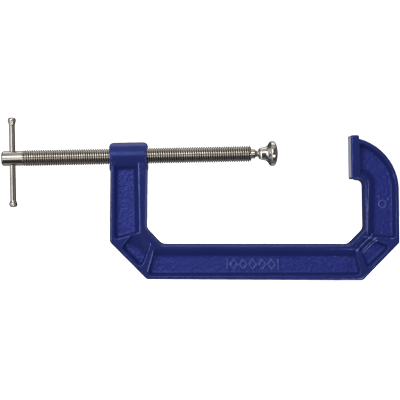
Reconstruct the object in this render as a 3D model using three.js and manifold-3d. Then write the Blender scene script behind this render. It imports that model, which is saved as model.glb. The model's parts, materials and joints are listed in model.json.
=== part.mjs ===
// An 8 inch C clamp: a ribbed cast frame with a tapped boss and an anvil, a screw with a loose
// tommy bar through its head, and a pad that swivels on the ball at the screw's tip.
//
// Millimetres, +Z up. The screw turns about the X axis, the anvil's clamping face is the plane
// X = 0, and the throat lies on the -Z side of the screw. The clamp is symmetric about Y = 0.
import * as THREE from "three";
import { mergeVertices } from "three/addons/utils/BufferGeometryUtils.js";
import Module from "manifold-3d";

const wasm = await Module();
wasm.setup();

// Opening between pad and anvil, as drawn
const JAW_OPENING = 80.2;

// Screw
const PITCH = 2.5;
const CREST_RADIUS = 8.75;
const ROOT_RADIUS = 7.6;
const SHANK_RADIUS = 8.1;
const SCREW_END_X = -384;
const RUN_OUT_X = -363;
const RUN_OUT_LENGTH = 3;
const THREAD_END_X = -108.8;
const END_CHAMFER = 1.5;
const COLLAR_RADIUS = 5.2;
const COLLAR_LENGTH = 6;
const COLLAR_END_X = -104.8;
const COLLAR_EDGE = 0.5;
const NECK_BACK_RADIUS = 3.9;
const NECK_RADIUS = 3.1;
const NECK_TAPER_LENGTH = 3.1;
const BALL_RADIUS = 4.7;

// Steps between the crests, the roots and the bare rods beside them
const CREST_CLEARANCE = 0.2;
const ROOT_STEP = 0.4;

// Nut thread in the boss, clear of the screw thread all round
const NUT_MINOR_RADIUS = 8.1;
const NUT_MAJOR_RADIUS = 9.3;

// Tommy bar
const BAR_X = -372.5;
const BAR_RADIUS = 3.175;
const BAR_HOLE_RADIUS = 3.5;
const BAR_BOTTOM_Z = -53.9;
const BAR_TOP_Z = 45.2;
const KNOB_RADIUS = 4.4;
const TOP_KNOB_LENGTH = 8.2;
const BOTTOM_KNOB_LENGTH = 6.9;
const KNOB_ROUNDING = 1.6;
const KNOB_ROUNDING_STEPS = 3;

// Shoulders between bar and knob as radius, distance from the end of the plain bar
const BOTTOM_SHOULDER = [[BAR_RADIUS, 0], [BAR_RADIUS + 0.5, 0.6], [KNOB_RADIUS, 2.4]];
const TOP_SHOULDER = [[BAR_RADIUS, 0], [BAR_RADIUS + 0.4, 2], [KNOB_RADIUS, 4.2]];

// Swivel pad as radius, distance forwards from the centre of the ball
const SOCKET_RADIUS = 5;
const MOUTH_RADIUS = 4.05;
const LIP_FRONT = -4.9;
const LIP_BACK = -6;
const PAD_LIP = [[MOUTH_RADIUS, LIP_FRONT], [MOUTH_RADIUS, LIP_BACK], [4.6, LIP_BACK], [5.6, -5.3]];
const PAD_BELL = [[6.3, -4.2], [6.7, -2.8], [7.5, 1.5], [8.8, 3.8], [11.1, 5.5], [12.9, 6.6]];
const PAD_RIM = [[13.6, 7.7], [13.6, 10.9]];
const PAD_DOME = [[13, 12], [10, 13.4]];
const PAD_FLAT_RADIUS = 6;
const PAD_FACE = 14.5;
const PAD_DROOP = THREE.MathUtils.degToRad(6.5);

// Retaining ring behind the ball
const RING_RADIUS = 3.9;
const RING_WIRE_RADIUS = 0.5;
const RING_OFFSET = -3.75;
const WIRE_SEGMENTS = 8;

// Frame section: the rims stand proud of a thin web, and every side wall has draft
const RIM_HALF_WIDTH = 13.5;
const WEB_HALF_WIDTH = 5;
const DRAFT_RUN = 1.9;
const PARTING_LAND = 0.6;
const OUTER_WALL_RUN = 3.3;
const INNER_SLOPE_RUN = 8.6;
const LEFT_LEG_SLOPE_RUN = 6.4;
const LEFT_MITRE_SLOPE_RUN = [13.8, 19.9];
const RIGHT_MITRE_SLOPE_RUN = 11;
const RIB_WALL_RUN = 2.2;
const ANVIL_WALL_RUN = 2.5;
const RECESS_ROUNDING = 2;
const CUTTER_OVERSHOOT = 1.1;
const BOSS_RADIUS = 15;
const BOSS_LEFT_X = -265.5;
const BOSS_RIGHT_X = -222.6;
const BOSS_CORNER_RADIUS = 5.5;
const BOSS_SHELL = 1;
const ANVIL_THICKNESS = 9.1;
const ANVIL_HALF_WIDTH = 14;
const ANVIL_TOP_Z = 17.9;
const ANVIL_BOTTOM_Z = -30;
const ANVIL_CORNER_RADIUS = 2.5;
const ANVIL_BEVEL = 0.8;

// Frame outline corners as X, Z
const HEEL = [-266.8, -94.3];
const BAR_LEFT = [-226.5, -136.3];
const BAR_RIGHT = [12, -141.9];
const TOE = [52.9, -101.5];
const INNER_HEEL = [-225.3, -79.6];
const INNER_BAR_LEFT = [-209, -97.4];
const INNER_BAR_RIGHT = [-4.5, -101.4];
const INNER_TOE = [12.5, -84.9];
const LEG_TOP_OUTER = [-264.1, 0];
const LEG_TOP_INNER = [-222.9, 0];
const HEEL_ROUNDING = 7;
const CORNER_ROUNDING = 3;
const THROAT_ROUNDING = 8;
const FILLET_ROUNDING = 6;

// The hook above the right leg: an arc outside, a fillet under the anvil inside
const HOOK_CENTRE = [-5.5, -42];
const HOOK_RADIUS = 58.8;
const FILLET_CORNER = [12.6, -31.5];
const HOOK_ROOT_X = 5;
const HOOK_FLOOR_LEFT_X = 12;
const HOOK_FLOOR_OUTER_RADIUS = HOOK_RADIUS - 8.5;
const HOOK_FLOOR_INNER_CENTRE = [9, -36];
const HOOK_FLOOR_INNER_RADIUS = 18.3;

// Mesh resolution
const THREAD_SEGMENTS = 12;
const ROUND_SEGMENTS = 32;
const BOSS_SEGMENTS = 48;
const ARC_STEPS = 6;

// A closed three.js geometry as a manifold solid.
function toSolid(geometry) {
  const bare = geometry.index ? geometry.toNonIndexed() : geometry.clone();
  bare.deleteAttribute("normal");
  bare.deleteAttribute("uv");
  const merged = mergeVertices(bare, 1e-3);
  const triVerts = new Uint32Array(merged.index.array);
  const vertProperties = merged.attributes.position.array;
  return new wasm.Manifold(new wasm.Mesh({ numProp: 3, vertProperties, triVerts }));
}

// A manifold solid as a three.js geometry.
function toGeometry(solid) {
  const { vertProperties, triVerts } = solid.getMesh();
  const geometry = new THREE.BufferGeometry();
  geometry.setAttribute("position", new THREE.BufferAttribute(vertProperties, 3));
  geometry.setIndex(new THREE.BufferAttribute(triVerts, 1));
  geometry.computeVertexNormals();
  return geometry;
}

// Revolves a profile of [radius, x] points about the X axis.
function turnedOnX(profile, segments = ROUND_SEGMENTS) {
  const points = profile.map(([radius, x]) => new THREE.Vector2(radius, x));
  return new THREE.LatheGeometry(points, segments).rotateZ(-Math.PI / 2);
}

// Points on a circular arc about [u, v], both ends included, with angles in degrees.
function arcPoints([u, v], radius, fromDeg, toDeg, steps = ARC_STEPS) {
  return Array.from({ length: steps + 1 }, (_, i) => {
    const angle = THREE.MathUtils.degToRad(fromDeg + ((toDeg - fromDeg) * i) / steps);
    return [u + radius * Math.cos(angle), v + radius * Math.sin(angle)];
  });
}

// The two tangent points and the middle of a fillet at a corner between two neighbours.
function filletPoints(before, corner, after, radius) {
  const at = new THREE.Vector2(...corner);
  const back = new THREE.Vector2(...before).sub(at).normalize();
  const on = new THREE.Vector2(...after).sub(at).normalize();
  const halfAngle = Math.acos(back.dot(on)) / 2;
  const reach = radius / Math.tan(halfAngle);
  const start = at.clone().addScaledVector(back, reach);
  const end = at.clone().addScaledVector(on, reach);
  const curve = new THREE.QuadraticBezierCurve(start, at, end);
  return curve.getPoints(ARC_STEPS - 2).map((p) => [p.x, p.y]);
}

// A closed outline with each corner [x, z, radius] rounded; a corner without a radius stays sharp.
function roundedOutline(corners) {
  return corners.flatMap(([x, z, radius], i) => {
    if (!radius) return [[x, z]];
    const before = corners.at(i - 1).slice(0, 2);
    const after = corners[(i + 1) % corners.length].slice(0, 2);
    return filletPoints(before, [x, z], after, radius);
  });
}

// Extrudes an X, Z outline both ways from Y = 0, drawn in by draftRun at the two outer faces.
function draftedPlate(outline, halfWidth, draftRun) {
  const shape = new THREE.Shape(outline.map(([x, z]) => new THREE.Vector2(x, z)));
  const plate = new THREE.ExtrudeGeometry(shape, {
    depth: PARTING_LAND,
    bevelThickness: halfWidth - PARTING_LAND / 2,
    bevelSize: draftRun,
    bevelOffset: -draftRun,
    bevelSegments: 1,
  });
  return plate.translate(0, 0, -PARTING_LAND / 2).rotateX(Math.PI / 2);
}

// The outline of the whole frame at its parting plane.
function frameOutline() {
  const topDeg = THREE.MathUtils.radToDeg(Math.acos((HOOK_ROOT_X - HOOK_CENTRE[0]) / HOOK_RADIUS));
  return [
    ...roundedOutline([
      LEG_TOP_OUTER,
      [...HEEL, HEEL_ROUNDING],
      [...BAR_LEFT, CORNER_ROUNDING],
      [...BAR_RIGHT, CORNER_ROUNDING],
      [...TOE, CORNER_ROUNDING],
      [HOOK_CENTRE[0] + HOOK_RADIUS, HOOK_CENTRE[1]],
    ]),
    ...arcPoints(HOOK_CENTRE, HOOK_RADIUS, 0, topDeg, 2 * ARC_STEPS).slice(1),
    ...roundedOutline([
      [HOOK_ROOT_X - 1, FILLET_CORNER[1]],
      [...FILLET_CORNER, FILLET_ROUNDING],
      [...INNER_TOE, THROAT_ROUNDING],
      [...INNER_BAR_RIGHT, THROAT_ROUNDING],
      [...INNER_BAR_LEFT, THROAT_ROUNDING],
      [...INNER_HEEL, THROAT_ROUNDING],
      LEG_TOP_INNER,
    ]),
  ];
}

// Moves each edge of an anticlockwise outline outwards by its own run, and returns the corners
// where neighbouring edges then meet. A run is one distance, or a pair for the edge's two ends.
function movedOut(outline, runs) {
  const lines = outline.map((corner, i) => {
    const start = new THREE.Vector2(...corner);
    const end = new THREE.Vector2(...outline[(i + 1) % outline.length]);
    const along = end.clone().sub(start).normalize();
    const out = new THREE.Vector2(along.y, -along.x);
    const [startRun, endRun] = [runs[i]].flat().length === 2 ? runs[i] : [runs[i], runs[i]];
    start.addScaledVector(out, startRun);
    end.addScaledVector(out, endRun);
    return { start, along: end.sub(start).normalize() };
  });
  return lines.map((line, i) => {
    const before = lines.at(i - 1);
    const gap = line.start.clone().sub(before.start);
    const reach = gap.cross(line.along) / before.along.cross(line.along);
    const corner = before.start.clone().addScaledVector(before.along, reach);
    return [corner.x, corner.y];
  });
}

// Rounds the listed corners of a recess floor, and blends the wall runs round them.
function roundedRecess({ floor, runs, rounded }) {
  const smooth = { floor: [], runs: [] };
  floor.forEach((corner, i) => {
    if (rounded.includes(i)) {
      const curve = filletPoints(floor.at(i - 1), corner, floor[i + 1], RECESS_ROUNDING);
      const step = (runs[i] - runs.at(i - 1)) / curve.length;
      smooth.floor.push(...curve);
      smooth.runs.push(...curve.slice(1).map((_, k) => runs.at(i - 1) + step * (k + 1)));
    } else {
      smooth.floor.push(corner);
    }
    smooth.runs.push(runs[i]);
  });
  return smooth;
}

// The solid that cuts one recess into the +Y side: it widens from the floor outline at the web by
// the wall runs at the rim, and runs on a little past the rim so that the cut is clean.
function recessCutter(recess) {
  const { floor, runs } = roundedRecess(recess);
  const mouth = movedOut(floor, runs.map((run) => [run].flat().map((r) => r * CUTTER_OVERSHOOT)));
  const mouthY = WEB_HALF_WIDTH + (RIM_HALF_WIDTH - WEB_HALF_WIDTH) * CUTTER_OVERSHOOT;
  const low = floor.map(([x, z]) => [x, WEB_HALF_WIDTH, z]);
  const high = mouth.map(([x, z]) => [x, mouthY, z]);
  const contour = floor.map(([x, z]) => new THREE.Vector2(x, z));
  const positions = [];
  const add = (...corners) => positions.push(...corners.flat());
  for (const [a, b, c] of THREE.ShapeUtils.triangulateShape(contour, [])) {
    add(low[a], low[b], low[c]);
    add(high[c], high[b], high[a]);
  }
  for (let i = 0; i < floor.length; i++) {
    const next = (i + 1) % floor.length;
    add(low[i], high[i], high[next]);
    add(low[i], high[next], low[next]);
  }
  const geometry = new THREE.BufferGeometry();
  geometry.setAttribute("position", new THREE.Float32BufferAttribute(positions, 3));
  return toSolid(geometry);
}

// The five recesses of one side: floor outlines as X, Z, anticlockwise, with one wall run an edge
// and the corners that are rounded.
function recesses() {
  const leftLeg = {
    floor: [[-258.3, -88.7], [-239, -83.6], [-239.4, -4], [-256.2, -4]],
    runs: [RIB_WALL_RUN, LEFT_LEG_SLOPE_RUN, 0, OUTER_WALL_RUN],
    rounded: [0],
  };
  const leftDiagonal = {
    floor: [[-250.1, -99.8], [-232.2, -119], [-228.3, -108.6], [-247.4, -96.7]],
    runs: [OUTER_WALL_RUN, RIB_WALL_RUN, LEFT_MITRE_SLOPE_RUN, RIB_WALL_RUN],
    rounded: [0, 1],
  };
  const bar = {
    floor: [[-222.7, -128.6], [5.9, -132.6], [2.2, -115.9], [-217.4, -110.9]],
    runs: [OUTER_WALL_RUN, RIB_WALL_RUN, INNER_SLOPE_RUN, RIB_WALL_RUN],
    rounded: [0, 1],
  };
  const rightDiagonal = {
    floor: [[15.8, -124.9], [37.3, -104.7], [22.4, -99.6], [10.2, -110.6]],
    runs: [OUTER_WALL_RUN, RIB_WALL_RUN, RIGHT_MITRE_SLOPE_RUN, RIB_WALL_RUN],
    rounded: [0, 1],
  };
  return [leftLeg, leftDiagonal, bar, rightDiagonal, rightLegRecess()];
}

// The right leg's recess follows the hook's outer arc up to the anvil, and comes back down round
// the fillet under the anvil.
function rightLegRecess() {
  const degAtLeft = ([x], radius) => (
    THREE.MathUtils.radToDeg(Math.acos((HOOK_FLOOR_LEFT_X - x) / radius))
  );
  const outerDeg = degAtLeft(HOOK_CENTRE, HOOK_FLOOR_OUTER_RADIUS);
  const innerDeg = degAtLeft(HOOK_FLOOR_INNER_CENTRE, HOOK_FLOOR_INNER_RADIUS);
  const outerArc = arcPoints(HOOK_CENTRE, HOOK_FLOOR_OUTER_RADIUS, 0, outerDeg, 2 * ARC_STEPS);
  const innerArc = arcPoints(HOOK_FLOOR_INNER_CENTRE, HOOK_FLOOR_INNER_RADIUS, innerDeg, 0);
  return {
    floor: [[24.6, -91.5], [44.3, -93.6], ...outerArc, ...innerArc],
    rounded: [1],
    runs: [
      RIB_WALL_RUN,
      ...outerArc.map(() => OUTER_WALL_RUN),
      ANVIL_WALL_RUN,
      ...innerArc.map(() => INNER_SLOPE_RUN),
    ],
  };
}

// The boss that carries the nut thread: a round barrel with drafted, rounded ends.
function boss() {
  const length = BOSS_RIGHT_X - BOSS_LEFT_X;
  const barrel = new THREE.CylinderGeometry(BOSS_RADIUS, BOSS_RADIUS, length, BOSS_SEGMENTS);
  barrel.rotateZ(-Math.PI / 2).translate((BOSS_LEFT_X + BOSS_RIGHT_X) / 2, 0, 0);
  const side = BOSS_RADIUS + BOSS_SHELL;
  const ends = roundedOutline([
    [BOSS_LEFT_X, -side],
    [BOSS_RIGHT_X, -side],
    [BOSS_RIGHT_X, BOSS_RADIUS, BOSS_CORNER_RADIUS],
    [BOSS_LEFT_X, BOSS_RADIUS, BOSS_CORNER_RADIUS],
  ]);
  return toSolid(barrel).intersect(toSolid(draftedPlate(ends, side, DRAFT_RUN)));
}

// The anvil plate: rounded corners all round and a flat clamping face at X = 0.
function anvil() {
  const w = ANVIL_HALF_WIDTH;
  const inset = ANVIL_BEVEL;
  const outline = roundedOutline([
    [-w, ANVIL_BOTTOM_Z, ANVIL_CORNER_RADIUS],
    [w, ANVIL_BOTTOM_Z, ANVIL_CORNER_RADIUS],
    [w, ANVIL_TOP_Z, ANVIL_CORNER_RADIUS],
    [-w, ANVIL_TOP_Z, ANVIL_CORNER_RADIUS],
  ]);
  const shape = new THREE.Shape(outline.map(([y, z]) => new THREE.Vector2(y, z)));
  const plate = new THREE.ExtrudeGeometry(shape, {
    depth: ANVIL_THICKNESS - 2 * inset,
    bevelThickness: inset,
    bevelSize: inset,
    bevelOffset: -inset,
    bevelSegments: 1,
  });
  // Shape x, y and depth become Y, Z and X.
  plate.applyMatrix4(new THREE.Matrix4().set(0, 0, 1, inset, 1, 0, 0, 0, 0, 1, 0, 0, 0, 0, 0, 1));
  return toSolid(plate);
}

// A rod with a right-hand V thread along X. Root lines pass through whole turns of the pitch, so
// a screw and a nut made by this function are in mesh.
function threadedRod(rootRadius, crestRadius, fromTurn, toTurn) {
  const rows = 2 * (toTurn - fromTurn);
  const point = (row, column) => {
    const angle = (2 * Math.PI * column) / THREAD_SEGMENTS;
    const radius = row % 2 ? crestRadius : rootRadius;
    const x = PITCH * (fromTurn + row / 2 + column / THREAD_SEGMENTS);
    return [x, radius * Math.cos(angle), radius * Math.sin(angle)];
  };
  const start = [PITCH * (fromTurn + 0.5), 0, 0];
  const end = [PITCH * (toTurn + 0.5), 0, 0];
  const positions = [];
  const add = (...corners) => positions.push(...corners.flat());
  for (let column = 0; column < THREAD_SEGMENTS; column++) {
    for (let row = 0; row < rows; row++) {
      add(point(row, column), point(row, column + 1), point(row + 1, column + 1));
      add(point(row, column), point(row + 1, column + 1), point(row + 1, column));
    }
    add(start, point(0, column + 1), point(0, column));
    add(end, point(rows, column), point(rows, column + 1));
  }
  for (const row of [0, 1]) {
    add(start, point(row, 0), point(row + 1, 0));
    add(end, point(rows + row + 1, 0), point(rows + row, 0));
  }
  const geometry = new THREE.BufferGeometry();
  geometry.setAttribute("position", new THREE.Float32BufferAttribute(positions, 3));
  return toSolid(geometry);
}

function frameGeometry() {
  let casting = toSolid(draftedPlate(frameOutline(), RIM_HALF_WIDTH, DRAFT_RUN));
  for (const recess of recesses()) {
    const cutter = recessCutter(recess);
    casting = casting.subtract(cutter).subtract(cutter.mirror([0, 1, 0]));
  }
  const firstTurn = Math.floor(BOSS_LEFT_X / PITCH) - 3;
  const lastTurn = Math.ceil(BOSS_RIGHT_X / PITCH) + 2;
  const nut = threadedRod(NUT_MINOR_RADIUS, NUT_MAJOR_RADIUS, firstTurn, lastTurn);
  return toGeometry(casting.add(boss()).add(anvil()).subtract(nut));
}

function spindleGeometry(ballX) {
  const firstTurn = Math.floor(RUN_OUT_X / PITCH) - 2;
  const lastTurn = Math.ceil(THREAD_END_X / PITCH) + 1;
  const clear = CREST_RADIUS + CREST_CLEARANCE;
  const envelope = turnedOnX([
    [0, RUN_OUT_X],
    [ROOT_RADIUS, RUN_OUT_X],
    [clear, RUN_OUT_X + RUN_OUT_LENGTH],
    [clear, THREAD_END_X - END_CHAMFER],
    [ROOT_RADIUS - ROOT_STEP, THREAD_END_X],
    [0, THREAD_END_X],
  ]);
  const thread = threadedRod(ROOT_RADIUS, CREST_RADIUS, firstTurn, lastTurn);
  const ballStartDeg = 180 - THREE.MathUtils.radToDeg(Math.asin(NECK_RADIUS / BALL_RADIUS));
  const ball = arcPoints([0, 0], BALL_RADIUS, ballStartDeg, 0, 2 * ARC_STEPS);
  const stem = turnedOnX([
    [0, SCREW_END_X],
    [SHANK_RADIUS - END_CHAMFER, SCREW_END_X],
    [SHANK_RADIUS, SCREW_END_X + END_CHAMFER],
    [SHANK_RADIUS, RUN_OUT_X + RUN_OUT_LENGTH / 2],
    [ROOT_RADIUS - ROOT_STEP / 2, RUN_OUT_X + RUN_OUT_LENGTH],
    [COLLAR_RADIUS, COLLAR_END_X - COLLAR_LENGTH],
    [COLLAR_RADIUS, COLLAR_END_X],
    [NECK_BACK_RADIUS, COLLAR_END_X + COLLAR_EDGE],
    [NECK_RADIUS, COLLAR_END_X + NECK_TAPER_LENGTH],
    ...ball.map(([along, radius]) => [Math.max(radius, 0), ballX + along]),
  ]);
  const drill = new THREE.CylinderGeometry(
    BAR_HOLE_RADIUS, BAR_HOLE_RADIUS, 4 * SHANK_RADIUS, ROUND_SEGMENTS / 2,
  );
  drill.rotateX(Math.PI / 2).translate(BAR_X, 0, 0);
  return toGeometry(thread.intersect(toSolid(envelope)).add(toSolid(stem)).subtract(toSolid(drill)));
}

// The tommy bar along Z, with its ends upset into round knobs that keep it in the hole.
function tommyBarGeometry() {
  const bottomNeck = BAR_BOTTOM_Z + BOTTOM_KNOB_LENGTH;
  const topNeck = BAR_TOP_Z - TOP_KNOB_LENGTH;
  const r = KNOB_ROUNDING;
  const inner = KNOB_RADIUS - r;
  const profile = [
    [0, BAR_BOTTOM_Z],
    ...arcPoints([inner, BAR_BOTTOM_Z + r], r, -90, 0, KNOB_ROUNDING_STEPS),
    ...BOTTOM_SHOULDER.map(([radius, along]) => [radius, bottomNeck - along]).reverse(),
    ...TOP_SHOULDER.map(([radius, along]) => [radius, topNeck + along]),
    ...arcPoints([inner, BAR_TOP_Z - r], r, 0, 90, KNOB_ROUNDING_STEPS),
    [0, BAR_TOP_Z],
  ];
  const points = profile.map(([radius, z]) => new THREE.Vector2(radius, z));
  return new THREE.LatheGeometry(points, ROUND_SEGMENTS / 2).rotateX(Math.PI / 2);
}

// The swivel pad about the centre of the ball: a bell with a domed face, and a socket that is
// open at the back and ends in a turned-in lip.
function swivelPadGeometry() {
  const socket = arcPoints([0, 0], SOCKET_RADIUS, 0, 90).map(([along, radius]) => [radius, along]);
  return turnedOnX([
    ...socket,
    [SOCKET_RADIUS, LIP_FRONT],
    ...PAD_LIP,
    ...PAD_BELL,
    ...PAD_RIM,
    ...PAD_DOME,
    [PAD_FLAT_RADIUS, PAD_FACE],
    [0, PAD_FACE],
  ]);
}

function retainingRingGeometry() {
  const ring = new THREE.TorusGeometry(RING_RADIUS, RING_WIRE_RADIUS, WIRE_SEGMENTS, ROUND_SEGMENTS);
  return ring.rotateY(Math.PI / 2);
}

function part(name, geometry, { color, roughness, metalness }) {
  const material = new THREE.MeshStandardMaterial({ color, roughness, metalness });
  const mesh = new THREE.Mesh(geometry, material);
  mesh.name = name;
  return mesh;
}

const BLUE_ENAMEL = { color: 0x22286b, roughness: 0.4, metalness: 0 };
const NICKEL = { color: 0xb3ada2, roughness: 0.25, metalness: 1 };
const SPRING_STEEL = { color: 0x5c5c60, roughness: 0.4, metalness: 1 };

function clamp() {
  const ballX = -JAW_OPENING - PAD_FACE * Math.cos(PAD_DROOP);

  const frame = part("frame", frameGeometry(), BLUE_ENAMEL);
  const spindle = part("spindle", spindleGeometry(ballX), NICKEL);

  const tommyBar = part("tommy_bar", tommyBarGeometry(), NICKEL);
  tommyBar.position.x = BAR_X;

  // The clamp lies on its +Y side, and the loose pad droops towards that side.
  const swivelPad = part("swivel_pad", swivelPadGeometry(), NICKEL);
  swivelPad.rotation.z = PAD_DROOP;

  const retainingRing = part("pad_retaining_ring", retainingRingGeometry(), SPRING_STEEL);
  retainingRing.position.x = RING_OFFSET;

  const ballJoint = new THREE.Group();
  ballJoint.position.x = ballX;
  ballJoint.add(swivelPad, retainingRing);

  const group = new THREE.Group();
  group.add(frame, spindle, tommyBar, ballJoint);
  return group;
}

const group = clamp();

export default group;
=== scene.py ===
"""Looks for the 8 inch C clamp: a sand cast, enamelled frame and bright nickel plated screw parts.

Shapes are worked out in millimetres in the frame's own axes and stored in metres. Materials, lights
and the camera are in metres.
"""

import json
import math

import bmesh
import bpy
import numpy as np
import openvdb
from mathutils import Matrix, Vector


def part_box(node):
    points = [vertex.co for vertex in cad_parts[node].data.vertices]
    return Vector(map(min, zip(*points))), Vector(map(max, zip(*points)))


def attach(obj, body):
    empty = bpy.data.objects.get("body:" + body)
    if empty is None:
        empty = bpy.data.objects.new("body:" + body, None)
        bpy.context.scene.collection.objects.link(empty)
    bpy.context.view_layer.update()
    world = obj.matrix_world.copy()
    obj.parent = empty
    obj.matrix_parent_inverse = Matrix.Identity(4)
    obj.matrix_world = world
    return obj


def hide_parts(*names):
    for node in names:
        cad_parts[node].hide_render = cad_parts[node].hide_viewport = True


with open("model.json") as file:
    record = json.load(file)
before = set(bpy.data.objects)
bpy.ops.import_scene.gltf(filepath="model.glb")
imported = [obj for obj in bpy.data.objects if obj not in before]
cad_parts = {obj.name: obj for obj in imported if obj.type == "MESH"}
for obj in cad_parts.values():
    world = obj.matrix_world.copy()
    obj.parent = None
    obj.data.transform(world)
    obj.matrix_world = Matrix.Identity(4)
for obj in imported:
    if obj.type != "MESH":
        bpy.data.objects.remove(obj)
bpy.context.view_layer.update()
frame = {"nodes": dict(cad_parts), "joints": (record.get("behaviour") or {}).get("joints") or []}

MM = 0.001
RANDOM = np.random.default_rng(8)

# The screw has the CAD's sizes, with a thread 0.4 mm deeper, a longer run-out and a lead-in.
PITCH = 2.5
CREST_RADIUS = 8.75
ROOT_RADIUS = 7.2
SHANK_RADIUS = 8.1
RUN_OUT_X = -363.0
RUN_OUT_LENGTH = 7
THREAD_END_X = -108.8
LEAD_IN_LENGTH = 2.0
LEAD_IN_DEPTH = 1.6
END_CHAMFER = 1.5
COLLAR_RADIUS = 5.2
COLLAR_END_X = -104.8
NECK_BACK_RADIUS = 3.9
NECK_RADIUS = 3.1
BALL_RADIUS = 4.7

# The nut thread
NUT_MINOR_RADIUS = 8.1
NUT_MAJOR_RADIUS = 9.3

# The bar and its hole
BAR_HOLE_RADIUS = 3.5
BAR_RADIUS = 3.175
KNOB_RADIUS = 4.4

# The pad and its ring
SOCKET_RADIUS = 5
MOUTH_RADIUS = 4.05
LIP_FRONT = -4.9
LIP_BACK = -6.0
PAD_RADIUS = 13.6
PAD_FACE = 14.5
WIRE_RADIUS = 0.5
RING_GAP = math.radians(12)

# How finely the turned and threaded parts are divided, and the angle above which an edge is sharp
SCREW_SIDES = 72
NUT_SIDES = 48
DRILL_SIDES = 48
BAR_SIDES = 64
PAD_SIDES = 96
WIRE_SIDES = 12
RING_STEPS = 61
BALL_STEPS = 25
SOCKET_STEPS = 13
SHARP_ANGLE = math.radians(40)


def corners(node):
    """Lowest and highest corner of a CAD node in millimetres."""
    low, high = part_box(node)
    return np.array(low) / MM, np.array(high) / MM


FRAME_BOTTOM_Z = corners("frame")[0][2]
SCREW_END_X = corners("spindle")[0][0]
BAR_LOW, BAR_HIGH = corners("tommy_bar")
RING_LOW, RING_HIGH = corners("pad_retaining_ring")
BAR_X = (BAR_LOW[0] + BAR_HIGH[0]) / 2
BALL_X = next(j for j in frame["joints"] if j["name"] == "pad_swivel")["pos_m"][0] / MM
PAD_DROOP = math.radians(6.5)


# ---------------------------------------------------------------- mesh helpers


def new_object(name, vertices, faces, smooth=True):
    """A mesh object from millimetre vertices."""
    mesh = bpy.data.meshes.new(name)
    points = (np.asarray(vertices, float) * MM).tolist()
    mesh.from_pydata(points, [], [list(map(int, f)) for f in faces])
    mesh.update()
    if smooth:
        mesh.shade_smooth()
    else:
        mesh.shade_flat()
    obj = bpy.data.objects.new(name, mesh)
    bpy.context.scene.collection.objects.link(obj)
    return obj


def turned(profile, segments, axis="X"):
    """Vertices and faces of a closed solid turned from [radius, along] points about an axis."""
    vertices, rings = [], []
    for radius, along in profile:
        if radius < 1e-6:
            rings.append([len(vertices)])
            vertices.append((along, 0, 0))
            continue
        rings.append(list(range(len(vertices), len(vertices) + segments)))
        for k in range(segments):
            a = 2 * math.pi * k / segments
            vertices.append((along, radius * math.cos(a), radius * math.sin(a)))
    faces = []
    pairs = list(zip(rings, rings[1:]))
    if len(rings[0]) > 1:
        pairs.append((rings[-1], rings[0]))
    for a, b in pairs:
        for k in range(segments):
            n = (k + 1) % segments
            if len(a) == 1:
                faces.append((a[0], b[n], b[k]))
            elif len(b) == 1:
                faces.append((a[k], a[n], b[0]))
            else:
                faces.append((a[k], a[n], b[n], b[k]))
    vertices = np.array(vertices, float)
    if axis == "Z":
        vertices = vertices[:, [1, 2, 0]]
    return vertices, faces


def softened(points, steps=5, radius=0.6):
    """A polyline with each corner replaced by a short curve, at most radius long on each side."""
    points = [np.array(p, float) for p in points]
    out = [points[0]]
    for before, corner, after in zip(points, points[1:], points[2:]):
        back, on = before - corner, after - corner
        start = corner + back * min(0.5, radius / np.linalg.norm(back))
        end = corner + on * min(0.5, radius / np.linalg.norm(on))
        for t in np.linspace(0, 1, steps):
            out.append((1 - t) ** 2 * start + 2 * t * (1 - t) * corner + t * t * end)
    out.append(points[-1])
    return [tuple(p) for p in out]


def face_outwards(obj):
    """Turns all faces of a closed mesh outwards."""
    bm = bmesh.new()
    bm.from_mesh(obj.data)
    bmesh.ops.recalc_face_normals(bm, faces=bm.faces)
    bm.to_mesh(obj.data)
    bm.free()
    return obj


def boolean(obj, other, operation):
    """Applies a boolean with another closed mesh, which is used up."""
    modifier = obj.modifiers.new("cut", "BOOLEAN")
    modifier.operation = operation
    modifier.solver = "MANIFOLD"
    modifier.object = other
    depsgraph = bpy.context.evaluated_depsgraph_get()
    mesh = bpy.data.meshes.new_from_object(obj.evaluated_get(depsgraph), depsgraph=depsgraph)
    obj.modifiers.clear()
    if len(mesh.polygons) == 0:
        raise RuntimeError(f"{operation} of {obj.name} with {other.name} left nothing")
    old = obj.data
    obj.data = mesh
    bpy.data.meshes.remove(old)
    bpy.data.objects.remove(other)
    return obj


def thread_section(root, crest):
    """[phase of the pitch, radius] points of one turn of a V thread with a rounded flat crest."""
    depth = crest - root
    return [
        (0.00, root),
        (0.04, root + 0.06 * depth),
        (0.36, root + 0.92 * depth),
        (0.40, root + 0.985 * depth),
        (0.44, crest),
        (0.56, crest),
        (0.60, root + 0.985 * depth),
        (0.64, root + 0.92 * depth),
        (0.96, root + 0.06 * depth),
    ]


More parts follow.
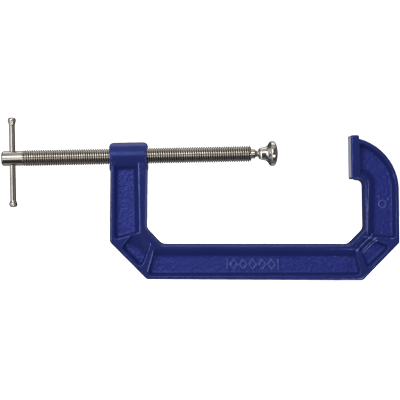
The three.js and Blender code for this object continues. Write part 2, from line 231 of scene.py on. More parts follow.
def threaded_rod(name, root, crest, first_turn, last_turn, columns, shaped=None):
    """A rod with a right-hand thread along X, with its roots on whole turns of the pitch. Shaped is
    given each x and radius and returns the radius to use."""
    section = thread_section(root, crest)
    turns = np.arange(first_turn, last_turn)
    phase = np.concatenate([t + np.array([p for p, _ in section]) for t in turns] + [[last_turn]])
    radius = np.concatenate([[r for _, r in section]] * len(turns) + [[section[0][1]]])
    angle = 2 * math.pi * np.arange(columns + 1) / columns
    x = PITCH * (phase[:, None] + angle[None, :] / (2 * math.pi))
    r = np.repeat(radius[:, None], columns + 1, axis=1)
    if shaped is not None:
        r = shaped(x, r)
    # The last column lies one turn on from the first, and shares its vertices.
    rows, per_turn = len(phase), len(section)
    index = np.full((rows, columns + 1), -1)
    index[:, :columns] = np.arange(rows * columns).reshape(rows, columns)
    count = rows * columns
    index[: rows - per_turn, columns] = index[per_turn:, 0]
    index[rows - per_turn :, columns] = np.arange(count, count + per_turn)
    grid = np.stack([x, r * np.cos(angle), r * np.sin(angle)], axis=2)
    vertices = np.concatenate([grid[:, :columns].reshape(-1, 3), grid[rows - per_turn :, columns]])
    around = [index[:-1, :-1], index[:-1, 1:], index[1:, 1:], index[1:, :-1]]
    quads = np.stack(around, axis=2).reshape(-1, 4)
    start, end = len(vertices), len(vertices) + 1
    caps = []
    for c in range(columns):
        caps.append((start, index[0, c + 1], index[0, c]))
        caps.append((end, index[-1, c], index[-1, c + 1]))
    for k in range(per_turn):
        caps.append((start, index[k, 0], index[k + 1, 0]))
        caps.append((end, index[rows - per_turn + k, columns], index[rows - per_turn - 1 + k, columns]))
    middle = [(PITCH * (turn + 0.5), 0, 0) for turn in (first_turn, last_turn)]
    faces = quads.tolist() + caps
    return face_outwards(new_object(name, np.concatenate([vertices, middle]), faces))


# ---------------------------------------------------------------- the casting

VOXEL = 0.7
BAND = 8  # voxels with distances on each side of the surface
MARGIN = 4  # empty voxels round the frame

# The boss, whose ends lean in with the draft of the casting
BOSS_LEFT_X = -265.5
BOSS_RIGHT_X = -222.6
BOSS_LEAN = 1.9 / 16
PLUG_RADIUS = 10

# Blurs that make the fillets, and the heights off the middle plane where the crisp one takes over
RIM_FILLET = 0.5
WEB_FILLET = 0.95
CRISP_ABOVE = (6.5, 9)

# The sandy floors, by depth inside the outline and by height off the middle plane
FLOOR_INSIDE = (3.2, 4.6)
FLOOR_BELOW = (5.3, 6.3)
SAND_HEIGHT = 0.12
SAND_GRAIN = 1.1

# The faint unevenness of the whole skin
SKIN_HEIGHT = 0.03
SKIN_GRAIN = 1.8

# The parting line, which is ground off near the anvil's face
FLASH_HEIGHT = 0.28
FLASH_WIDTH = 0.7
FLASH_STARTS = (11, 14)

# Raised marks, which fall off between two distances from the middle of a stroke
MARK_HEIGHT = 1.35
MARK_EDGE = (0.5, 1.25)
ROW_CENTRE = (-109.5, -121.8)
ROW_SLOPE = -0.019
LOZENGES = 5
LOZENGE_SPACING = 10.4
LOZENGE_HALF_WIDTH = 4
LOZENGE_HALF_HEIGHT = 5.4
ROW_HALF_LENGTH = 28
RING_MARK_CENTRE = (34.5, -58)
RING_MARK_RADIUS = 4
RING_MARK_POINTS = 17
PIPS = [[(40.5, -53.5), (41.5, -52.5)], [(29.5, -49.5), (31, -49.5)]]

# Low steps left by the pattern along the inner slope of the right hand corner, as X, Z, and the
# heights off the middle plane where they begin
RIDGES = [
    [(22.7, -90.5), (4.0, -109.0)],
    [(25.5, -94.8), (9.5, -111.0)],
    [(26.4, -97.5), (12.5, -111.5)],
]
RIDGE_HEIGHT = 0.85
RIDGE_WIDTH = 0.8
RIDGES_ABOVE = (4.4, 5.0)

# Rim edges that carry a painted highlight line, put on as worn enamel, as X, Z
HIGHLIGHT_LINES = [
    [(-233.8, -9), (-234.1, -87)],
    [(-219.5, -106), (-224, -125.5)],
    [(15.0, -91.4), (2.8, -102.4)],
    [(17.6, -34), (17.2, -88)],
    [(44.7, -27), (43.4, -95)],
]
HIGHLIGHT_LINE_WIDTH = (1.3, 2.5)

# Wear and painted highlights: the blur that tells edges from flats, the edge values and heights of
# ridges and marks between which they set in, and how strong they are on rims and marks
EDGE_BLUR = 1.0
HIGHLIGHT_LINE_EDGE = (0.11, 0.19)
RIDGE_CREST = (0.35, 0.8)
MARK_CREST = (0.6, 1.1)
RIM_HIGHLIGHT = 0.7
MARK_WEAR_AND_HIGHLIGHT = 0.55


def smoothstep(low, high, value):
    """A smooth ramp from 0 at low to 1 at high."""
    t = np.clip((value - low) / (high - low), 0, 1)
    return t * t * (3 - 2 * t)


def blurred(volume, sigma):
    """Gaussian blur of a volume. Sigma is in millimetres."""
    sigma = sigma / VOXEL
    reach = math.ceil(3 * sigma)
    weights = np.exp(-0.5 * (np.arange(-reach, reach + 1) / sigma) ** 2)
    weights = (weights / weights.sum()).astype(np.float32)
    for axis in range(volume.ndim):
        pad = [(reach, reach) if a == axis else (0, 0) for a in range(volume.ndim)]
        padded = np.pad(volume, pad, mode="edge")
        length = volume.shape[axis]
        volume = np.zeros_like(volume)
        for k, weight in enumerate(weights):
            window = [slice(None)] * volume.ndim
            window[axis] = slice(k, k + length)
            volume += weight * padded[tuple(window)]
    return volume


def rough(shape, sigma):
    """Blurred random noise with unit deviation."""
    noise = blurred(RANDOM.standard_normal(shape, dtype=np.float32), sigma)
    return noise / noise.std()


def stroke(x, z, points):
    """Distance from each x, z to a polyline."""
    best = np.full(np.broadcast(x, z).shape, 1e3, np.float32)
    for (ax, az), (bx, bz) in zip(points, points[1:]):
        length2 = (bx - ax) ** 2 + (bz - az) ** 2 or 1
        t = np.clip(((x - ax) * (bx - ax) + (z - az) * (bz - az)) / length2, 0, 1)
        best = np.minimum(best, np.hypot(x - ax - t * (bx - ax), z - az - t * (bz - az)))
    return best


def sampled(volume, origin, points):
    """Trilinear samples of a volume at millimetre points."""
    at = points / VOXEL - origin
    low = np.clip(np.floor(at).astype(int), 0, np.array(volume.shape) - 2)
    t = (at - low).astype(np.float32)
    total = np.zeros(len(points), np.float32)
    for corner in np.ndindex(2, 2, 2):
        weight = np.prod(np.where(corner, t, 1 - t), axis=1)
        i, j, k = (low + corner).T
        total += weight * volume[i, j, k]
    return total


def distances(node):
    """Signed distance to a CAD node at each voxel round it, and the index of the first voxel."""
    mesh = frame["nodes"][node].data
    mesh.calc_loop_triangles()
    points = np.empty(len(mesh.vertices) * 3, np.float32)
    mesh.vertices.foreach_get("co", points)
    triangles = np.empty(len(mesh.loop_triangles) * 3, np.int32)
    mesh.loop_triangles.foreach_get("vertices", triangles)
    grid = openvdb.FloatGrid.createLevelSetFromPolygons(
        (points.reshape(-1, 3) / MM).astype(np.float32),
        triangles=triangles.reshape(-1, 3).astype(np.uint32),
        transform=openvdb.createLinearTransform(voxelSize=VOXEL),
        halfWidth=BAND,
    )
    low, high = corners(node)
    origin = np.floor(low / VOXEL).astype(int) - MARGIN
    top = np.ceil(high / VOXEL).astype(int) + MARGIN
    volume = np.zeros(top - origin + 1, np.float32)
    grid.copyToArray(volume, ijk=tuple(int(i) for i in origin))
    return volume, origin


def casting():
    """The frame as one sand casting: filleted edges, rough floors, parting line and raised marks."""
    body, origin = distances("frame")
    steps = [VOXEL * (i + np.arange(n)).astype(np.float32) for i, n in zip(origin, body.shape)]
    x, y, z = np.meshgrid(*steps, indexing="ij", sparse=True)
    side = np.abs(y)

    # The bore is closed here and cut with its own thread at the end.
    lean = BOSS_LEAN * side
    ends = np.maximum(BOSS_LEFT_X + lean - x, x - BOSS_RIGHT_X + lean)
    body = np.minimum(body, np.maximum(np.hypot(y, z) - PLUG_RADIUS, ends))

    # Fillets are rounder down at the web than on the rims.
    crisp, soft = blurred(body, RIM_FILLET), blurred(body, WEB_FILLET)
    up = smoothstep(*CRISP_ABOVE, side)
    shaped = up * crisp + (1 - up) * soft

    # Depth inside the outline tells the floors from the outer walls.
    middle = body[:, -origin[1], :]
    inside = smoothstep(*FLOOR_INSIDE, -middle)[:, None, :]
    floor = inside * (1 - smoothstep(*FLOOR_BELOW, side))

    sand = SAND_HEIGHT * floor * rough(body.shape, SAND_GRAIN)
    skin = SKIN_HEIGHT * rough(body.shape, SKIN_GRAIN)
    shaped = shaped + sand + skin

    seam = FLASH_HEIGHT * np.exp(-((y / FLASH_WIDTH) ** 2))
    shaped = shaped - seam * (1 - inside) * smoothstep(*FLASH_STARTS, np.abs(x))
    shaped = shaped - floor * marks(x, z)
    shaped = shaped - ridges(x, z) * smoothstep(*RIDGES_ABOVE, side)

    out = openvdb.FloatGrid(float(VOXEL * BAND))
    out.copyFromArray(np.ascontiguousarray(shaped, np.float32))
    out.gridClass = openvdb.GridClass.LEVEL_SET
    vertices, quads = out.convertToQuads(0.0)
    obj = face_outwards(new_object("clamp_frame", (vertices + origin) * VOXEL, quads))

    first, last = math.floor(BOSS_LEFT_X / PITCH) - 3, math.ceil(BOSS_RIGHT_X / PITCH) + 2
    nut = threaded_rod("nut_thread", NUT_MINOR_RADIUS, NUT_MAJOR_RADIUS, first, last, NUT_SIDES)
    boolean(obj, nut, "DIFFERENCE")
    paint_guides(obj, shaped, floor, origin)
    return obj


def paint_guides(obj, shaped, floor, origin):
    """Stores what the enamel depends on at each vertex: how much it lies on a floor, how far it
    stands out on an edge or sits in a hollow, and how much worn enamel and painted highlight it
    carries."""
    points = np.empty(len(obj.data.vertices) * 3, np.float32)
    obj.data.vertices.foreach_get("co", points)
    points = points.reshape(-1, 3) / MM
    x, y, z = points.T
    on_floor = sampled(floor, origin, points)
    edge = sampled(blurred(shaped, EDGE_BLUR) - shaped, origin, points)

    high = smoothstep(*RIDGES_ABOVE, np.abs(y))
    wear_glint = smoothstep(*RIDGE_CREST, ridges(x, z)) * high
    # Painted highlight lines on the listed rim edges and, partly, on ridges and marks, as worn enamel
    nearest = np.minimum.reduce([stroke(x, z, line) for line in HIGHLIGHT_LINES])
    rim = (1 - smoothstep(*HIGHLIGHT_LINE_WIDTH, nearest)) * smoothstep(*HIGHLIGHT_LINE_EDGE, edge) * high
    raised = smoothstep(*MARK_CREST, marks(x, z)) * on_floor
    wear_and_highlight = np.maximum(wear_glint, RIM_HIGHLIGHT * rim) + MARK_WEAR_AND_HIGHLIGHT * raised
    for name, values in (("floor", on_floor), ("edge", edge), ("wear_glint", wear_and_highlight)):
        attribute = obj.data.attributes.new(name, "FLOAT", "POINT")
        attribute.data.foreach_set("value", values.astype(np.float32))


def marks(x, z):
    """Height of the raised foundry marks on a floor: a row of lozenges between two short bars, and
    a ring with two pips on the right leg."""
    centre_x, centre_z = ROW_CENTRE
    wide, tall = LOZENGE_HALF_WIDTH, LOZENGE_HALF_HEIGHT
    strokes = []
    for i in range(LOZENGES):
        cx = centre_x + LOZENGE_SPACING * (i - LOZENGES // 2)
        cz = centre_z + ROW_SLOPE * (cx - centre_x)
        left, right = (cx - wide, cz), (cx + wide, cz)
        strokes.append([left, (cx, cz + tall), right, (cx, cz - tall), left])
    for end in (-1, 1):
        cx = centre_x + ROW_HALF_LENGTH * end
        cz = centre_z + ROW_SLOPE * (cx - centre_x)
        strokes.append([(cx, cz - tall), (cx, cz + tall)])
    ring_x, ring_z = RING_MARK_CENTRE
    around = np.linspace(0, 2 * math.pi, RING_MARK_POINTS)
    radius = RING_MARK_RADIUS
    strokes.append([(ring_x + radius * math.cos(a), ring_z + radius * math.sin(a)) for a in around])
    nearest = np.minimum.reduce([stroke(x, z, points) for points in strokes + PIPS])
    return MARK_HEIGHT * (1 - smoothstep(*MARK_EDGE, nearest))


def ridges(x, z):
    """Height of the low steps on the right hand corner."""
    return sum(RIDGE_HEIGHT * np.exp(-((stroke(x, z, line) / RIDGE_WIDTH) ** 2)) for line in RIDGES)


# ---------------------------------------------------------------- turned parts


def spindle():
    """The screw: a threaded rod joined to a turned stem and ball, with its cross hole drilled."""

    def shaped(x, r):
        fade = smoothstep(RUN_OUT_X, RUN_OUT_X + RUN_OUT_LENGTH, x)
        lead = smoothstep(THREAD_END_X - LEAD_IN_LENGTH, THREAD_END_X, x)
        outside = CREST_RADIUS + 0.05 - LEAD_IN_DEPTH * lead
        return np.minimum(SHANK_RADIUS + fade * (r - SHANK_RADIUS), outside)

    first, last = math.floor(RUN_OUT_X / PITCH) - 2, math.ceil(THREAD_END_X / PITCH) + 1
    rod = threaded_rod("clamp_screw", ROOT_RADIUS, CREST_RADIUS, first, last, SCREW_SIDES, shaped)
    clear = CREST_RADIUS + 0.2
    ends = [(0, RUN_OUT_X), (clear, RUN_OUT_X), (clear, THREAD_END_X), (0, THREAD_END_X)]
    boolean(rod, face_outwards(new_object("ends", *turned(ends, SCREW_SIDES))), "INTERSECT")

    ball_start = math.pi - math.asin(NECK_RADIUS / BALL_RADIUS)
    ball = [
        (BALL_RADIUS * math.sin(a), BALL_X + BALL_RADIUS * math.cos(a))
        for a in np.linspace(ball_start, 0, BALL_STEPS)
    ]
    ball[-1] = (0, BALL_X + BALL_RADIUS)
    core = ROOT_RADIUS - 0.3
    outline = [
        (0, SCREW_END_X),
        (SHANK_RADIUS - END_CHAMFER, SCREW_END_X),
        (SHANK_RADIUS, SCREW_END_X + END_CHAMFER),
        (SHANK_RADIUS, RUN_OUT_X + 1.0),
        (core, RUN_OUT_X + 1.6),
        (core, THREAD_END_X - 3),
        (COLLAR_RADIUS, THREAD_END_X - 2.4),
        (COLLAR_RADIUS, COLLAR_END_X),
        (NECK_BACK_RADIUS, COLLAR_END_X + 0.5),
        (NECK_RADIUS, COLLAR_END_X + 3.1),
        ball[0],
    ]
    stem = softened(outline, radius=0.45)[:-1] + ball
    boolean(rod, face_outwards(new_object("stem", *turned(stem, SCREW_SIDES))), "UNION")

    reach = 20
    hole = [(0, -reach), (BAR_HOLE_RADIUS, -reach), (BAR_HOLE_RADIUS, reach), (0, reach)]
    vertices, faces = turned(hole, DRILL_SIDES, "Z")
    vertices[:, 0] += BAR_X
    boolean(rod, face_outwards(new_object("drill", vertices, faces)), "DIFFERENCE")
    rod.data.set_sharp_from_angle(angle=SHARP_ANGLE)
    return rod


def tommy_bar():
    """The sliding bar, whose lower knob is the shorter one."""
    low, high = BAR_LOW[2], BAR_HIGH[2]
    lower_knob = [
        (0, low),
        (2.2, low + 0.15),
        (3.7, low + 0.9),
        (KNOB_RADIUS, low + 2.4),
        (KNOB_RADIUS, low + 4.0),
        (4.0, low + 5.4),
        (BAR_RADIUS + 0.1, low + 6.5),
        (BAR_RADIUS, low + 7.5),
    ]
    upper_knob = [
        (BAR_RADIUS, high - 9.2),
        (BAR_RADIUS + 0.25, high - 7.4),
        (3.95, high - 5.6),
        (KNOB_RADIUS, high - 3.9),
        (KNOB_RADIUS, high - 2.3),
        (3.8, high - 0.9),
        (2.3, high - 0.15),
        (0, high),
    ]
    profile = softened(lower_knob + upper_knob, steps=6, radius=1.1)
    vertices, faces = turned(profile, BAR_SIDES, "Z")
    vertices[:, 0] += BAR_X
    return face_outwards(new_object("tommy_bar_rod", vertices, faces))


def swivel_pad():
    """The bell-shaped pad with its socket, tilted about the ball."""
    angles = np.linspace(0, math.pi / 2, SOCKET_STEPS)
    socket = [(SOCKET_RADIUS * math.sin(a), SOCKET_RADIUS * math.cos(a)) for a in angles]
    socket[0] = (0, SOCKET_RADIUS)
    mouth = [
        (SOCKET_RADIUS, 0),
        (SOCKET_RADIUS, LIP_FRONT),
        (MOUTH_RADIUS, LIP_FRONT),
        (MOUTH_RADIUS, LIP_BACK),
        (4.6, LIP_BACK),
    ]
    bell = [(5.6, -5.3), (6.3, -4.2), (6.7, -2.8), (7.5, 1.5), (8.8, 3.8), (11.1, 5.5), (12.9, 6.6)]
    rim = [(PAD_RADIUS, 7.7), (PAD_RADIUS, 10.9)]
    face = [(13.0, 12.0), (10.0, 13.4), (6.0, PAD_FACE), (0, PAD_FACE)]
    outside = softened(mouth + bell + rim + face, steps=6, radius=0.9)
    vertices, faces = turned(socket[:-1] + outside, PAD_SIDES)
    obj = face_outwards(new_object("pad_bell", vertices, faces))
    obj.data.transform(Matrix.Rotation(PAD_DROOP, 4, "Z"))
    obj.data.transform(Matrix.Translation((BALL_X * MM, 0, 0)))
    return obj


def retaining_ring():
    """A split wire ring with rounded ends."""
    x = (RING_LOW[0] + RING_HIGH[0]) / 2
    mean = (RING_HIGH[2] - RING_LOW[2]) / 2 - WIRE_RADIUS
    start, end = RING_GAP, 2 * math.pi - RING_GAP
    # Each section is an angle and a share of the wire's radius, which falls where the ends round off.
    tip, shoulder = 0.48 * WIRE_RADIUS / mean, 0.16 * WIRE_RADIUS / mean
    sections = [(start - tip, 0.35), (start - shoulder, 0.8)]
    sections += [(a, 1) for a in np.linspace(start, end, RING_STEPS)]
    sections += [(end + shoulder, 0.8), (end + tip, 0.35)]
    sides = WIRE_SIDES
    vertices = []
    for a, share in sections:
        for k in range(sides):
            b = 2 * math.pi * k / sides
            r = mean + WIRE_RADIUS * share * math.cos(b)
            vertices.append((x + WIRE_RADIUS * share * math.sin(b), r * math.cos(a), r * math.sin(a)))
    faces = [tuple(range(sides)), tuple(range(len(vertices) - 1, len(vertices) - sides - 1, -1))]
    for s in range(len(sections) - 1):
        for k in range(sides):
            n = (k + 1) % sides
            faces.append((s * sides + k, s * sides + n, (s + 1) * sides + n, (s + 1) * sides + k))
    return face_outwards(new_object("pad_ring_wire", vertices, faces))


# ---------------------------------------------------------------- materials


# The floor and grazing colours below are painted sheen, the thin-edge and worn colours are partly
# painted highlight, and the crease colour is painted shade.
ENAMEL_DARK = (0.0190, 0.0275, 0.148, 1)
ENAMEL_LIGHT = (0.0215, 0.0310, 0.168, 1)
ENAMEL_FLOOR_SHEEN = (0.0225, 0.0305, 0.262, 1)
ENAMEL_THIN_AND_HIGHLIGHT = (0.065, 0.085, 0.34, 1)
ENAMEL_WORN_HIGHLIGHT = (0.19, 0.23, 0.52, 1)
ENAMEL_CREASE_SHADE = (0.006, 0.008, 0.045, 1)
ENAMEL_GRAZING_SHEEN = (0.075, 0.105, 0.38, 1)
ENAMEL_GLINT = (0.28, 0.36, 1.0, 1)

SCREW_NICKEL = (0.66, 0.615, 0.55)
PAD_NICKEL = (0.74, 0.70, 0.63)
SPRING_STEEL = (0.24, 0.24, 0.25)
OIL = (0.05, 0.045, 0.04, 1)
OIL_SHARE = 0.62


class Nodes:
    """Short calls for building a node tree."""

    def __init__(self, tree):
        self.tree = tree
        tree.nodes.clear()

    def add(self, kind, inputs=None, **settings):
        node = self.tree.nodes.new(kind)
        for key, value in settings.items():
            setattr(node, key, value)
        for key, value in (inputs or {}).items():
            self.feed(node.inputs[key], value)
        return node

    def feed(self, socket, value):
        """Links a socket to another one or sets it to a plain value."""
        if isinstance(value, bpy.types.NodeSocket):
            self.tree.links.new(value, socket)
        else:
            socket.default_value = value

    def math(self, operation, a, b=0.0):
        return self.add("ShaderNodeMath", {0: a, 1: b}, operation=operation).outputs[0]

    def plus(self, a, b):
        return self.math("ADD", a, b)

    def minus(self, a, b):
        return self.math("SUBTRACT", a, b)

    def times(self, a, b):
        return self.math("MULTIPLY", a, b)

    def noise(self, vector, scale, detail=2.0, roughness=0.5):
        inputs = {"Vector": vector, "Scale": scale, "Detail": detail, "Roughness": roughness}
        return self.add("ShaderNodeTexNoise", inputs).outputs["Fac"]

    def remap(self, value, low, high, out_low=0.0, out_high=1.0, smooth=False):
        inputs = {0: value, 1: low, 2: high, 3: out_low, 4: out_high}
        kind = "SMOOTHSTEP" if smooth else "LINEAR"
        return self.add("ShaderNodeMapRange", inputs, interpolation_type=kind, clamp=True).outputs[0]

    def mix(self, factor, a, b):
        return self.add("ShaderNodeMix", {0: factor, 6: a, 7: b}, data_type="RGBA").outputs[2]

    def place(self):
        return self.add("ShaderNodeTexCoord").outputs["Object"]

    def guide(self, name):
        return self.add("ShaderNodeAttribute", attribute_name=name).outputs["Fac"]

    def principled(self, inputs):
        """Ends the tree with a Principled surface."""
        shader = self.add("ShaderNodeBsdfPrincipled", inputs).outputs[0]
        self.add("ShaderNodeOutputMaterial", {"Surface": shader})


def new_material(name):
    material = bpy.data.materials.new(name)
    material.use_nodes = True
    return material, Nodes(material.node_tree)


def enamel():
    """Dark blue enamel over cast iron: smooth on the rims, stippled by the sand on the floors. Its
    colour holds painted sheen on floors and at low angles, painted highlights on edges and painted
    shade in creases.
    """
    material, n = new_material("blue_enamel")
    place = n.place()
    floor, edge, wear_and_highlight = n.guide("floor"), n.guide("edge"), n.guide("wear_glint")
    cloud = n.noise(place, scale=28.0, detail=3.0)
    stipple = n.noise(place, scale=430.0, roughness=0.6)
    grain = n.noise(place, scale=1500.0, roughness=0.55)
    peel = n.noise(place, scale=420.0, detail=1.0)
    fleck = n.noise(place, scale=350.0, detail=3.0)

    # Cloudy blue, with a paler painted sheen on the floors where the sand catches the light
    colour = n.mix(n.remap(cloud, 0.3, 0.7), ENAMEL_DARK, ENAMEL_LIGHT)
    floor_sheen = n.times(floor, n.remap(stipple, 0.4, 0.62, out_low=0.4))
    colour = n.mix(floor_sheen, colour, ENAMEL_FLOOR_SHEEN)

    # Paler where the enamel thins on rim edges, which is also a painted highlight along them;
    # worn paler with painted highlights on ridges and marks; painted shade in creases
    rim = n.minus(1.0, n.times(floor, 0.85))
    thin_and_highlight = n.times(n.remap(edge, 0.19, 0.32, smooth=True), rim)
    thin_and_highlight = n.times(thin_and_highlight, n.remap(fleck, 0.36, 0.58))
    colour = n.mix(n.times(thin_and_highlight, 0.4), colour, ENAMEL_THIN_AND_HIGHLIGHT)
    # Worn paler enamel with painted highlights on ridges, the listed rim edges and raised marks
    bright = n.times(wear_and_highlight, n.remap(fleck, 0.38, 0.58, out_low=0.45))
    colour = n.mix(bright, colour, ENAMEL_WORN_HIGHLIGHT)
    # Painted shade: darker in creases
    crease_shade = n.times(n.remap(edge, -0.10, -0.30, smooth=True), rim)
    colour = n.mix(n.times(crease_shade, 0.2), colour, ENAMEL_CREASE_SHADE)

    # Painted sheen: paler where it is seen at a low angle, standing in for the light the enamel
    # reflects there
    facing = n.add("ShaderNodeLayerWeight", {"Blend": 0.5}).outputs["Facing"]
    sheen_at_grazing = n.remap(facing, 0.72, 0.95, smooth=True)
    colour = n.mix(n.times(sheen_at_grazing, 0.7), colour, ENAMEL_GRAZING_SHEEN)

    roughness = n.plus(n.remap(cloud, 0.2, 0.8, 0.15, 0.21), n.times(floor, 0.09))
    sand = n.times(floor, n.plus(stipple, n.times(grain, 0.35)))
    height = n.plus(sand, n.times(peel, 0.06))
    bump = n.add("ShaderNodeBump", {"Height": height, "Distance": 0.0010, "Strength": 0.8})
    n.principled(
        {
            "Base Color": colour,
            "Roughness": roughness,
            "Normal": bump.outputs[0],
            "IOR": 1.5,
            "Specular IOR Level": 0.75,
            "Specular Tint": ENAMEL_GLINT,
            "Coat Weight": 0.04,
            "Coat Roughness": 0.1,
        }
    )
    return material


def nickel(name, along="X", colour=SCREW_NICKEL, gloss=0.13, haze_share=0.0, thread=None):
    """Bright nickel over turned steel: fine turning lines round the part and faint handling haze.
    A thread, given by its start and end along X, has dark oil in its grooves, and the part is satin
    from the thread's start on."""
    material, n = new_material(name)
    place = n.place()
    stretch = {"X": (1, 0.02, 0.02), "Z": (0.02, 0.02, 1)}[along]
    lines_at = n.add("ShaderNodeMapping", {"Vector": place, "Scale": stretch}).outputs[0]
    lines = n.noise(lines_at, scale=5200.0, roughness=0.6)
    haze = n.noise(place, scale=90.0, detail=4.0, roughness=0.6)
    pits = n.noise(place, scale=900.0, roughness=0.6)

    hazed = tuple(c * 0.80 for c in colour)
    pitted = (colour[0] * 0.45, colour[1] * 0.42, colour[2] * 0.38)
    tone = n.mix(n.remap(haze, 0.35, 0.7), (*colour, 1), (*hazed, 1))
    tone = n.mix(n.remap(pits, 0.66, 0.74, out_high=0.12), tone, (*pitted, 1))
    roughness = n.remap(haze, 0.3, 0.75, gloss - 0.02, gloss + 0.04)
    metallic = 1.0 - haze_share
    height = n.plus(n.times(lines, 0.5), n.times(pits, 0.3))
    if thread is not None:
        start, end = (x * MM for x in thread)
        at = n.add("ShaderNodeSeparateXYZ", {"Vector": place}).outputs
        radius = n.math("SQRT", n.plus(n.math("POWER", at["Y"], 2.0), n.math("POWER", at["Z"], 2.0)))
        depth = CREST_RADIUS - ROOT_RADIUS
        deep, shallow = (ROOT_RADIUS + share * depth for share in (0.1, 0.6))
        oil = n.remap(radius, deep * MM, shallow * MM, 1.0, 0.0)
        satin = n.math("GREATER_THAN", at["X"], start)
        within = n.times(satin, n.math("LESS_THAN", at["X"], end))
        tone = n.mix(n.times(n.times(oil, within), OIL_SHARE), tone, OIL)
        roughness = n.plus(roughness, n.times(satin, 0.08))
        metallic = n.minus(metallic, n.times(satin, 0.06))
        height = n.times(height, n.minus(1.0, satin))
    bump = n.add("ShaderNodeBump", {"Height": height, "Distance": 0.00003, "Strength": 0.22})
    n.principled(
        {
            "Base Color": tone,
            "Metallic": metallic,
            "Roughness": roughness,
            "Normal": bump.outputs[0],
        }
    )
    return material


def give(obj, material, body, node):
    obj.data.materials.clear()
    obj.data.materials.append(material)
    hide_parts(node)
    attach(obj, body)


# ---------------------------------------------------------------- studio


# Lights that are only seen in reflections: place, target, width and height, watts
REFLECTED = {
    "key": ((-0.45, -1.3, 0.53), (-0.45, 0, 0.1), (1.05, 0.90), 4.0),
    "spot": ((-0.55, -1.2, 0.55), (-0.25, 0, 0), (0.14, 0.14), 1.6),
    "side": ((-0.80, -1.2, -0.05), (-0.2, 0, -0.05), (0.08, 0.75), 3.4),
    "kicker": ((0.18, -0.86, -0.56), (-0.05, 0, -0.05), (0.09, 0.60), 2.0),
    "band": ((-0.20, -1.1, 0.60), (-0.25, 0, 0), (1.6, 0.22), 3.8),
    "line": ((-0.25, -1.2, -0.20), (-0.25, 0, 0), (1.6, 0.15), 1.9),
    "veil": ((-0.25, -1.2, -0.42), (-0.25, 0, 0), (1.6, 0.40), 1.1),
    "sheet": ((-0.95, -1.1, -0.05), (-0.3, 0, -0.05), (0.5, 1.2), 3.1),
    "high_box": ((-0.62, -1.0, 0.50), (-0.3, 0, 0), (0.45, 0.45), 2.8),
    "low_box": ((0.10, -1.0, -0.50), (-0.2, 0, 0), (0.40, 0.40), 2.2),
}

# Pieces and the lights that reach only them. Narrow lights would break up on the fine thread.
LIT_ALONE = {
    "smooth_parts": (("clamp_frame", "tommy_bar_rod", "pad_bell"), ("spot",)),
    "enamelled_parts": (("clamp_frame",), ("side", "kicker")),
    "threaded_parts": (("clamp_screw",), ("band", "line", "veil")),
    "plated_parts": (("tommy_bar_rod", "pad_bell"), ("sheet", "high_box", "low_box")),
}

# Soft patches of the room that show in reflections: direction, inner and outer angle, brightness.
# The rest of the room is dim, and a little less so behind the clamp.
PATCHES = (
    ((-1.0, -0.35, 0.05), 25, 50, 0.55),
    ((0.0, -0.05, 1.0), 25, 50, 0.35),
    ((0.0, 0.62, 0.79), 14, 32, 0.40),
    ((0.1, 0.45, -1.0), 20, 45, 0.28),
    ((0.9, -0.45, 0.0), 15, 38, 0.16),
    ((0.0, -0.65, 0.76), 8, 22, 0.22),
    ((-0.132, 0.99, 0.04), 3, 7, 0.62),
    ((0.33, 0.94, 0.0), 5, 16, 0.10),
)
ROOM_FRONT = 0.04
ROOM_BACK = 0.05

# The even light on matt surfaces, its brighter patch behind the clamp to the right, and the white
# that the camera sees
AMBIENT = 0.64
AMBIENT_PATCH = ((0.75, 0.65, 0.0), 15, 55, 1.3)
BACKDROP = 1.1

CLAMP_MIDDLE = (-0.17, 0.0, -0.05)

FLOOR_HALF_WIDTH = 4.0
FLOOR_GAP = 0.0006
FLOOR_GLOW = 0.85

# The camera stands in front of the clamp and is rolled by about one degree. The lens is in mm.
CAMERA_PLACE = (-0.1662, -1.2500, -0.0499)
CAMERA_RIGHT = (0.99982, 0, -0.01902)
CAMERA_UP = (0.01902, 0, 0.99982)
CAMERA_LENS = 101.8
CAMERA_SENSOR = 36.0


def area_light(name, location, target, size, power):
    """A light box that faces its target."""
    data = bpy.data.lights.new(name, "AREA")
    data.shape = "RECTANGLE"
    data.size, data.size_y = size
    data.energy = power
    light = bpy.data.objects.new(name, data)
    light.location = location
    light.visible_camera = False
    light.rotation_mode = "QUATERNION"
    light.rotation_quaternion = (Vector(target) - Vector(location)).to_track_quat("-Z", "Y")
    bpy.context.scene.collection.objects.link(light)
    return light


def shine_on(name, parts, lights):
    """Limits lights to the named objects."""
    receivers = bpy.data.collections.new(name)
    for part in parts:
        receivers.objects.link(bpy.data.objects[part])
    for light in lights:
        light.light_linking.receiver_collection = receivers


def lobe(n, direction, towards, inner, outer, strength):
    """A soft round patch of the sky about one direction. Angles are in degrees."""
    inputs = {0: direction, 1: Vector(towards).normalized()}
    facing = n.add("ShaderNodeVectorMath", inputs, operation="DOT_PRODUCT").outputs["Value"]
    low, high = math.cos(math.radians(outer)), math.cos(math.radians(inner))
    return n.remap(facing, low, high, 0.0, strength, smooth=True)


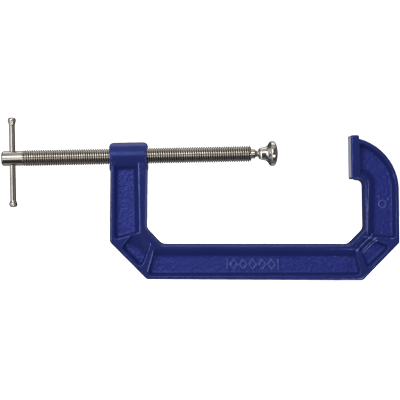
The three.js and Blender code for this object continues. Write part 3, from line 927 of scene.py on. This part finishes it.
def room():
    """The world: one look for reflections, one for the light on matt surfaces, one for the camera."""
    world = bpy.data.worlds.new("studio")
    bpy.context.scene.world = world
    world.use_nodes = True
    n = Nodes(world.node_tree)
    direction = n.add("ShaderNodeTexCoord").outputs["Generated"]
    away = n.add("ShaderNodeSeparateXYZ", {"Vector": direction}).outputs["Y"]
    level = n.remap(n.remap(away, -0.15, 0.45, smooth=True), 0.0, 1.0, ROOM_FRONT, ROOM_BACK)
    for patch in PATCHES:
        level = n.plus(level, lobe(n, direction, *patch))
    grey = n.add("ShaderNodeCombineXYZ", {0: level, 1: level, 2: level}).outputs[0]

    def background(colour, strength):
        return n.add("ShaderNodeBackground", {"Color": colour, "Strength": strength}).outputs[0]

    white = (1, 1, 1, 1)
    mirrored = background(grey, 1.0)
    ambient = background(white, n.plus(lobe(n, direction, *AMBIENT_PATCH), AMBIENT))
    seen = background(white, BACKDROP)
    ray = n.add("ShaderNodeLightPath").outputs
    lit = n.add("ShaderNodeMixShader", {0: ray["Is Diffuse Ray"], 1: mirrored, 2: ambient}).outputs[0]
    both = n.add("ShaderNodeMixShader", {0: ray["Is Camera Ray"], 1: lit, 2: seen}).outputs[0]
    n.add("ShaderNodeOutputWorld", {"Surface": both})
    world.cycles.sampling_method = "NONE"


def pale_floor():
    """A floor just under the clamp, which neither reflects in it nor lights it."""
    wide = FLOOR_HALF_WIDTH / MM
    square = [(-wide, -wide, 0), (wide, -wide, 0), (wide, wide, 0), (-wide, wide, 0)]
    floor = new_object("floor", square, [(0, 1, 2, 3)], smooth=False)
    floor.location.z = float(FRAME_BOTTOM_Z) * MM - FLOOR_GAP
    material, n = new_material("pale_floor")
    cloud = n.noise(n.place(), scale=6.0, detail=3.0)
    tone = n.mix(cloud, (0.88, 0.88, 0.885, 1), (0.92, 0.92, 0.92, 1))
    matt = n.add("ShaderNodeBsdfDiffuse", {"Color": tone, "Roughness": 0.8}).outputs[0]
    glow = n.add("ShaderNodeEmission", {"Color": (1, 1, 1, 1), "Strength": FLOOR_GLOW}).outputs[0]
    both = n.add("ShaderNodeAddShader", {0: matt, 1: glow}).outputs[0]
    n.add("ShaderNodeOutputMaterial", {"Surface": both})
    floor.data.materials.append(material)
    floor.visible_glossy = False
    floor.visible_diffuse = False


def studio():
    scene = bpy.context.scene
    scene.view_settings.view_transform = "Standard"
    scene.view_settings.look = "None"
    scene.cycles.use_denoising = True
    scene.cycles.denoising_prefilter = "NONE"
    scene.cycles.filter_width = 1.2

    room()
    lamps = {name: area_light(name, *shape) for name, shape in REFLECTED.items()}
    for lamp in lamps.values():
        lamp.visible_diffuse = False
    for name, (parts, alone) in LIT_ALONE.items():
        shine_on(name, parts, [lamps[lamp] for lamp in alone])
    fill = area_light("fill", (-0.6, -0.8, 0.35), CLAMP_MIDDLE, (0.6, 0.6), 2.4)
    fill.visible_glossy = False
    area_light("top", (-0.2, 0.3, 1.5), CLAMP_MIDDLE, (1.2, 0.8), 2)
    pale_floor()


def camera():
    data = bpy.data.cameras.new("camera")
    data.sensor_width = CAMERA_SENSOR
    data.lens = CAMERA_LENS
    data.clip_start, data.clip_end = 0.05, 50
    obj = bpy.data.objects.new("camera", data)
    bpy.context.scene.collection.objects.link(obj)
    right, up = Vector(CAMERA_RIGHT), Vector(CAMERA_UP)
    columns = (right, up, right.cross(up), Vector(CAMERA_PLACE))
    rows = [[column[i] for column in columns] for i in range(3)]
    obj.matrix_world = Matrix(rows + [[0, 0, 0, 1]])
    bpy.context.scene.camera = obj


blue = enamel()
give(casting(), blue, "frame", "frame")
oiled = (RUN_OUT_X + 4, THREAD_END_X - 0.7)
screw_nickel = nickel("nickel_screw", thread=oiled)
give(spindle(), screw_nickel, "screw", "spindle")
bar_nickel = nickel("nickel_bar", "Z", gloss=0.17, haze_share=0.06)
give(tommy_bar(), bar_nickel, "bar", "tommy_bar")
pad_nickel = nickel("nickel_pad", colour=PAD_NICKEL, gloss=0.08, haze_share=0.05)
give(swivel_pad(), pad_nickel, "pad", "swivel_pad")
spring_wire = nickel("spring_wire", colour=SPRING_STEEL, gloss=0.3)
give(retaining_ring(), spring_wire, "feed", "pad_retaining_ring")
studio()
camera()
